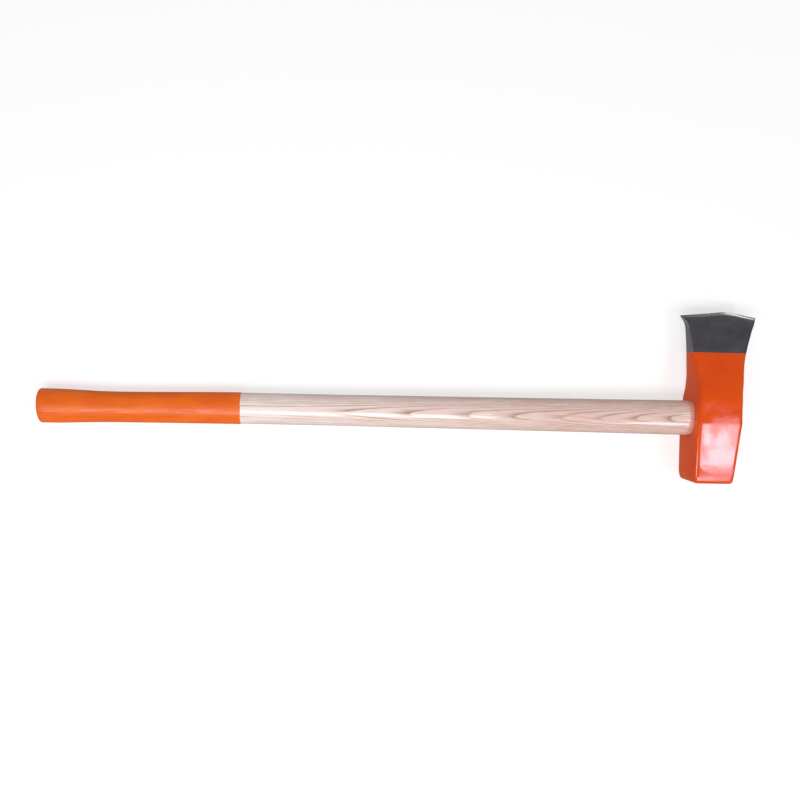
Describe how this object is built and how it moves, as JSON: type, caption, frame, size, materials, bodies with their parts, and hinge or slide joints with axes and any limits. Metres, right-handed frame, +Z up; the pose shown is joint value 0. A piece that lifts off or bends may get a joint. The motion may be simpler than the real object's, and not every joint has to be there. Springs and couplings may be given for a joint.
{
  "type": "splitting maul",
  "caption": "Long-handled maul for splitting firewood: heavy wedge head with a flared ground edge and a flat poll, oval ash handle with a dipped grip.",
  "frame": {"origin": "middle of the bounding box's footprint, on the plane of the lower cheek on which the head lies", "axes": "+X along the handle from the grip to the head, +Y from the poll to the cutting edge, +Z up, square to the cheeks"},
  "size_m": [0.85, 0.206, 0.058],
  "materials": {
    "painted_forged_steel": "glossy orange enamel over forged steel; the last 50 mm to the edge is bare dark steel with a bright ground edge",
    "lacquered_ash": "pale ash with long grain streaks under clear gloss lacquer",
    "dipped_grip": "smooth glossy orange dip coating",
    "wedge_beech": "raw sawn hardwood",
    "wedge_steel": "plain mild steel"
  },
  "bodies": {
    "root": {"maul_head": "painted_forged_steel", "handle": "lacquered_ash", "grip_coating": "dipped_grip", "wooden_wedge": "wedge_beech", "ring_wedge": "wedge_steel"}
  },
  "joints": []
}
